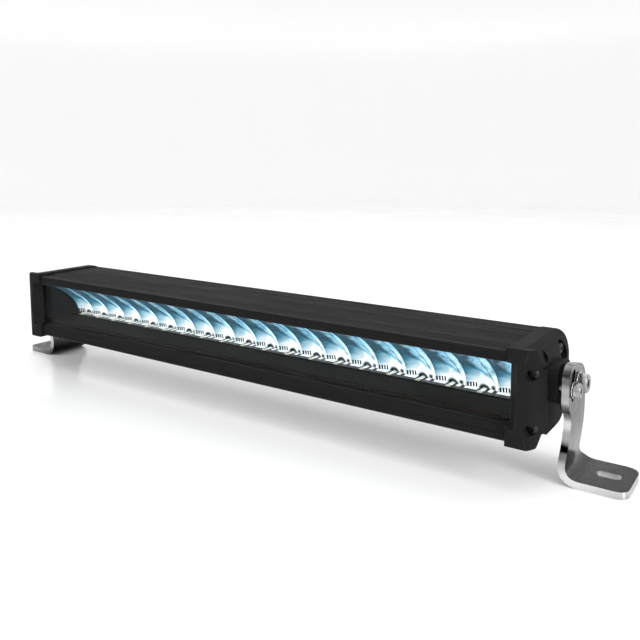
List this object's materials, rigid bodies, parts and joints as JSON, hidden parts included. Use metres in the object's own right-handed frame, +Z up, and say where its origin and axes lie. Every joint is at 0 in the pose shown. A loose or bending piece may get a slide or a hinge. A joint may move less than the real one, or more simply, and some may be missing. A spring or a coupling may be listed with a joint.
{
  "type": "light bar",
  "caption": "Single-row LED light bar: black finned housing, clear lens over a row of mirror cells, ringed end caps, two swivelling steel foot brackets.",
  "frame": {"origin": "on the mounting surface, midway along the bar, at the bottom centre of the overall box", "axes": "+X along the bar to the right seen from the front, -Y the way the light shines, +Z up from the mounting surface"},
  "size_m": [0.643, 0.0989, 0.0989],
  "materials": {
    "housing_black": "black anodised extrusion, satin, fine lines along its length",
    "cap_black": "black powder-coated die casting, fine texture",
    "plastic_black": "black moulded plastic",
    "rubber_black": "soft black rubber",
    "lens_clear": "clear polished sheet",
    "mirror": "vacuum-metallised, highly polished",
    "board_white": "aluminium-core circuit board, white solder mask with dark parts and tracks",
    "board_green": "glass-fibre circuit board with parts",
    "led_package": "white package with a clear dome",
    "pad_grey": "soft heat-conducting sheet",
    "bracket_steel": "satin stainless plate, brushed",
    "bolt_steel": "bright stainless",
    "screw_dark": "blackened steel"
  },
  "bodies": {
    "bar": {"housing": "housing_black", "lens": "lens_clear", "lens_seal": "rubber_black", "bezel": "plastic_black", "reflector_1": "mirror", "reflector_2": "mirror", "thermal_pad": "pad_grey", "led_board_1": "board_white", "led_board_2": "board_white", "driver_board": "board_green", "board_link": "plastic_black", "cable_gland": "plastic_black", "breather_vent": "plastic_black", "led_01": "led_package", "led_02": "led_package", "led_03": "led_package", "led_04": "led_package", "led_05": "led_package", "led_06": "led_package", "led_07": "led_package", "led_08": "led_package", "led_09": "led_package", "led_10": "led_package", "led_11": "led_package", "led_12": "led_package", "led_13": "led_package", "led_14": "led_package", "led_15": "led_package", "led_16": "led_package", "led_17": "led_package", "led_18": "led_package", "led_19": "led_package", "led_20": "led_package", "end_cap_right": "cap_black", "cap_cover_right": "cap_black", "cap_gasket_right": "rubber_black", "pivot_spacer_right": "rubber_black", "cover_screw_right_1": "screw_dark", "cap_screw_right_1": "screw_dark", "cover_screw_right_2": "screw_dark", "cap_screw_right_2": "screw_dark", "pivot_bolt_right": "bolt_steel", "pivot_washer_right": "bolt_steel", "lock_bolt_right": "bolt_steel", "lock_washer_right": "bolt_steel", "end_cap_left": "cap_black", "cap_cover_left": "cap_black", "cap_gasket_left": "rubber_black", "pivot_spacer_left": "rubber_black", "cover_screw_left_1": "screw_dark", "cap_screw_left_1": "screw_dark", "cover_screw_left_2": "screw_dark", "cap_screw_left_2": "screw_dark", "pivot_bolt_left": "bolt_steel", "pivot_washer_left": "bolt_steel", "lock_bolt_left": "bolt_steel", "lock_washer_left": "bolt_steel"},
    "bracket_right": {"bracket_right": "bracket_steel"},
    "bracket_left": {"bracket_left": "bracket_steel"}
  },
  "joints": [
    {"name": "right_bracket_swing", "type": "hinge", "parent": "bar", "child": "bracket_right", "pos_m": [0.2795, 0, 0.0696], "axis": [1, 0, 0], "range_deg": [-24, 44]},
    {"name": "left_bracket_swing", "type": "hinge", "parent": "bar", "child": "bracket_left", "pos_m": [-0.2795, 0, 0.0696], "axis": [1, 0, 0], "range_deg": [-24, 44]}
  ]
}
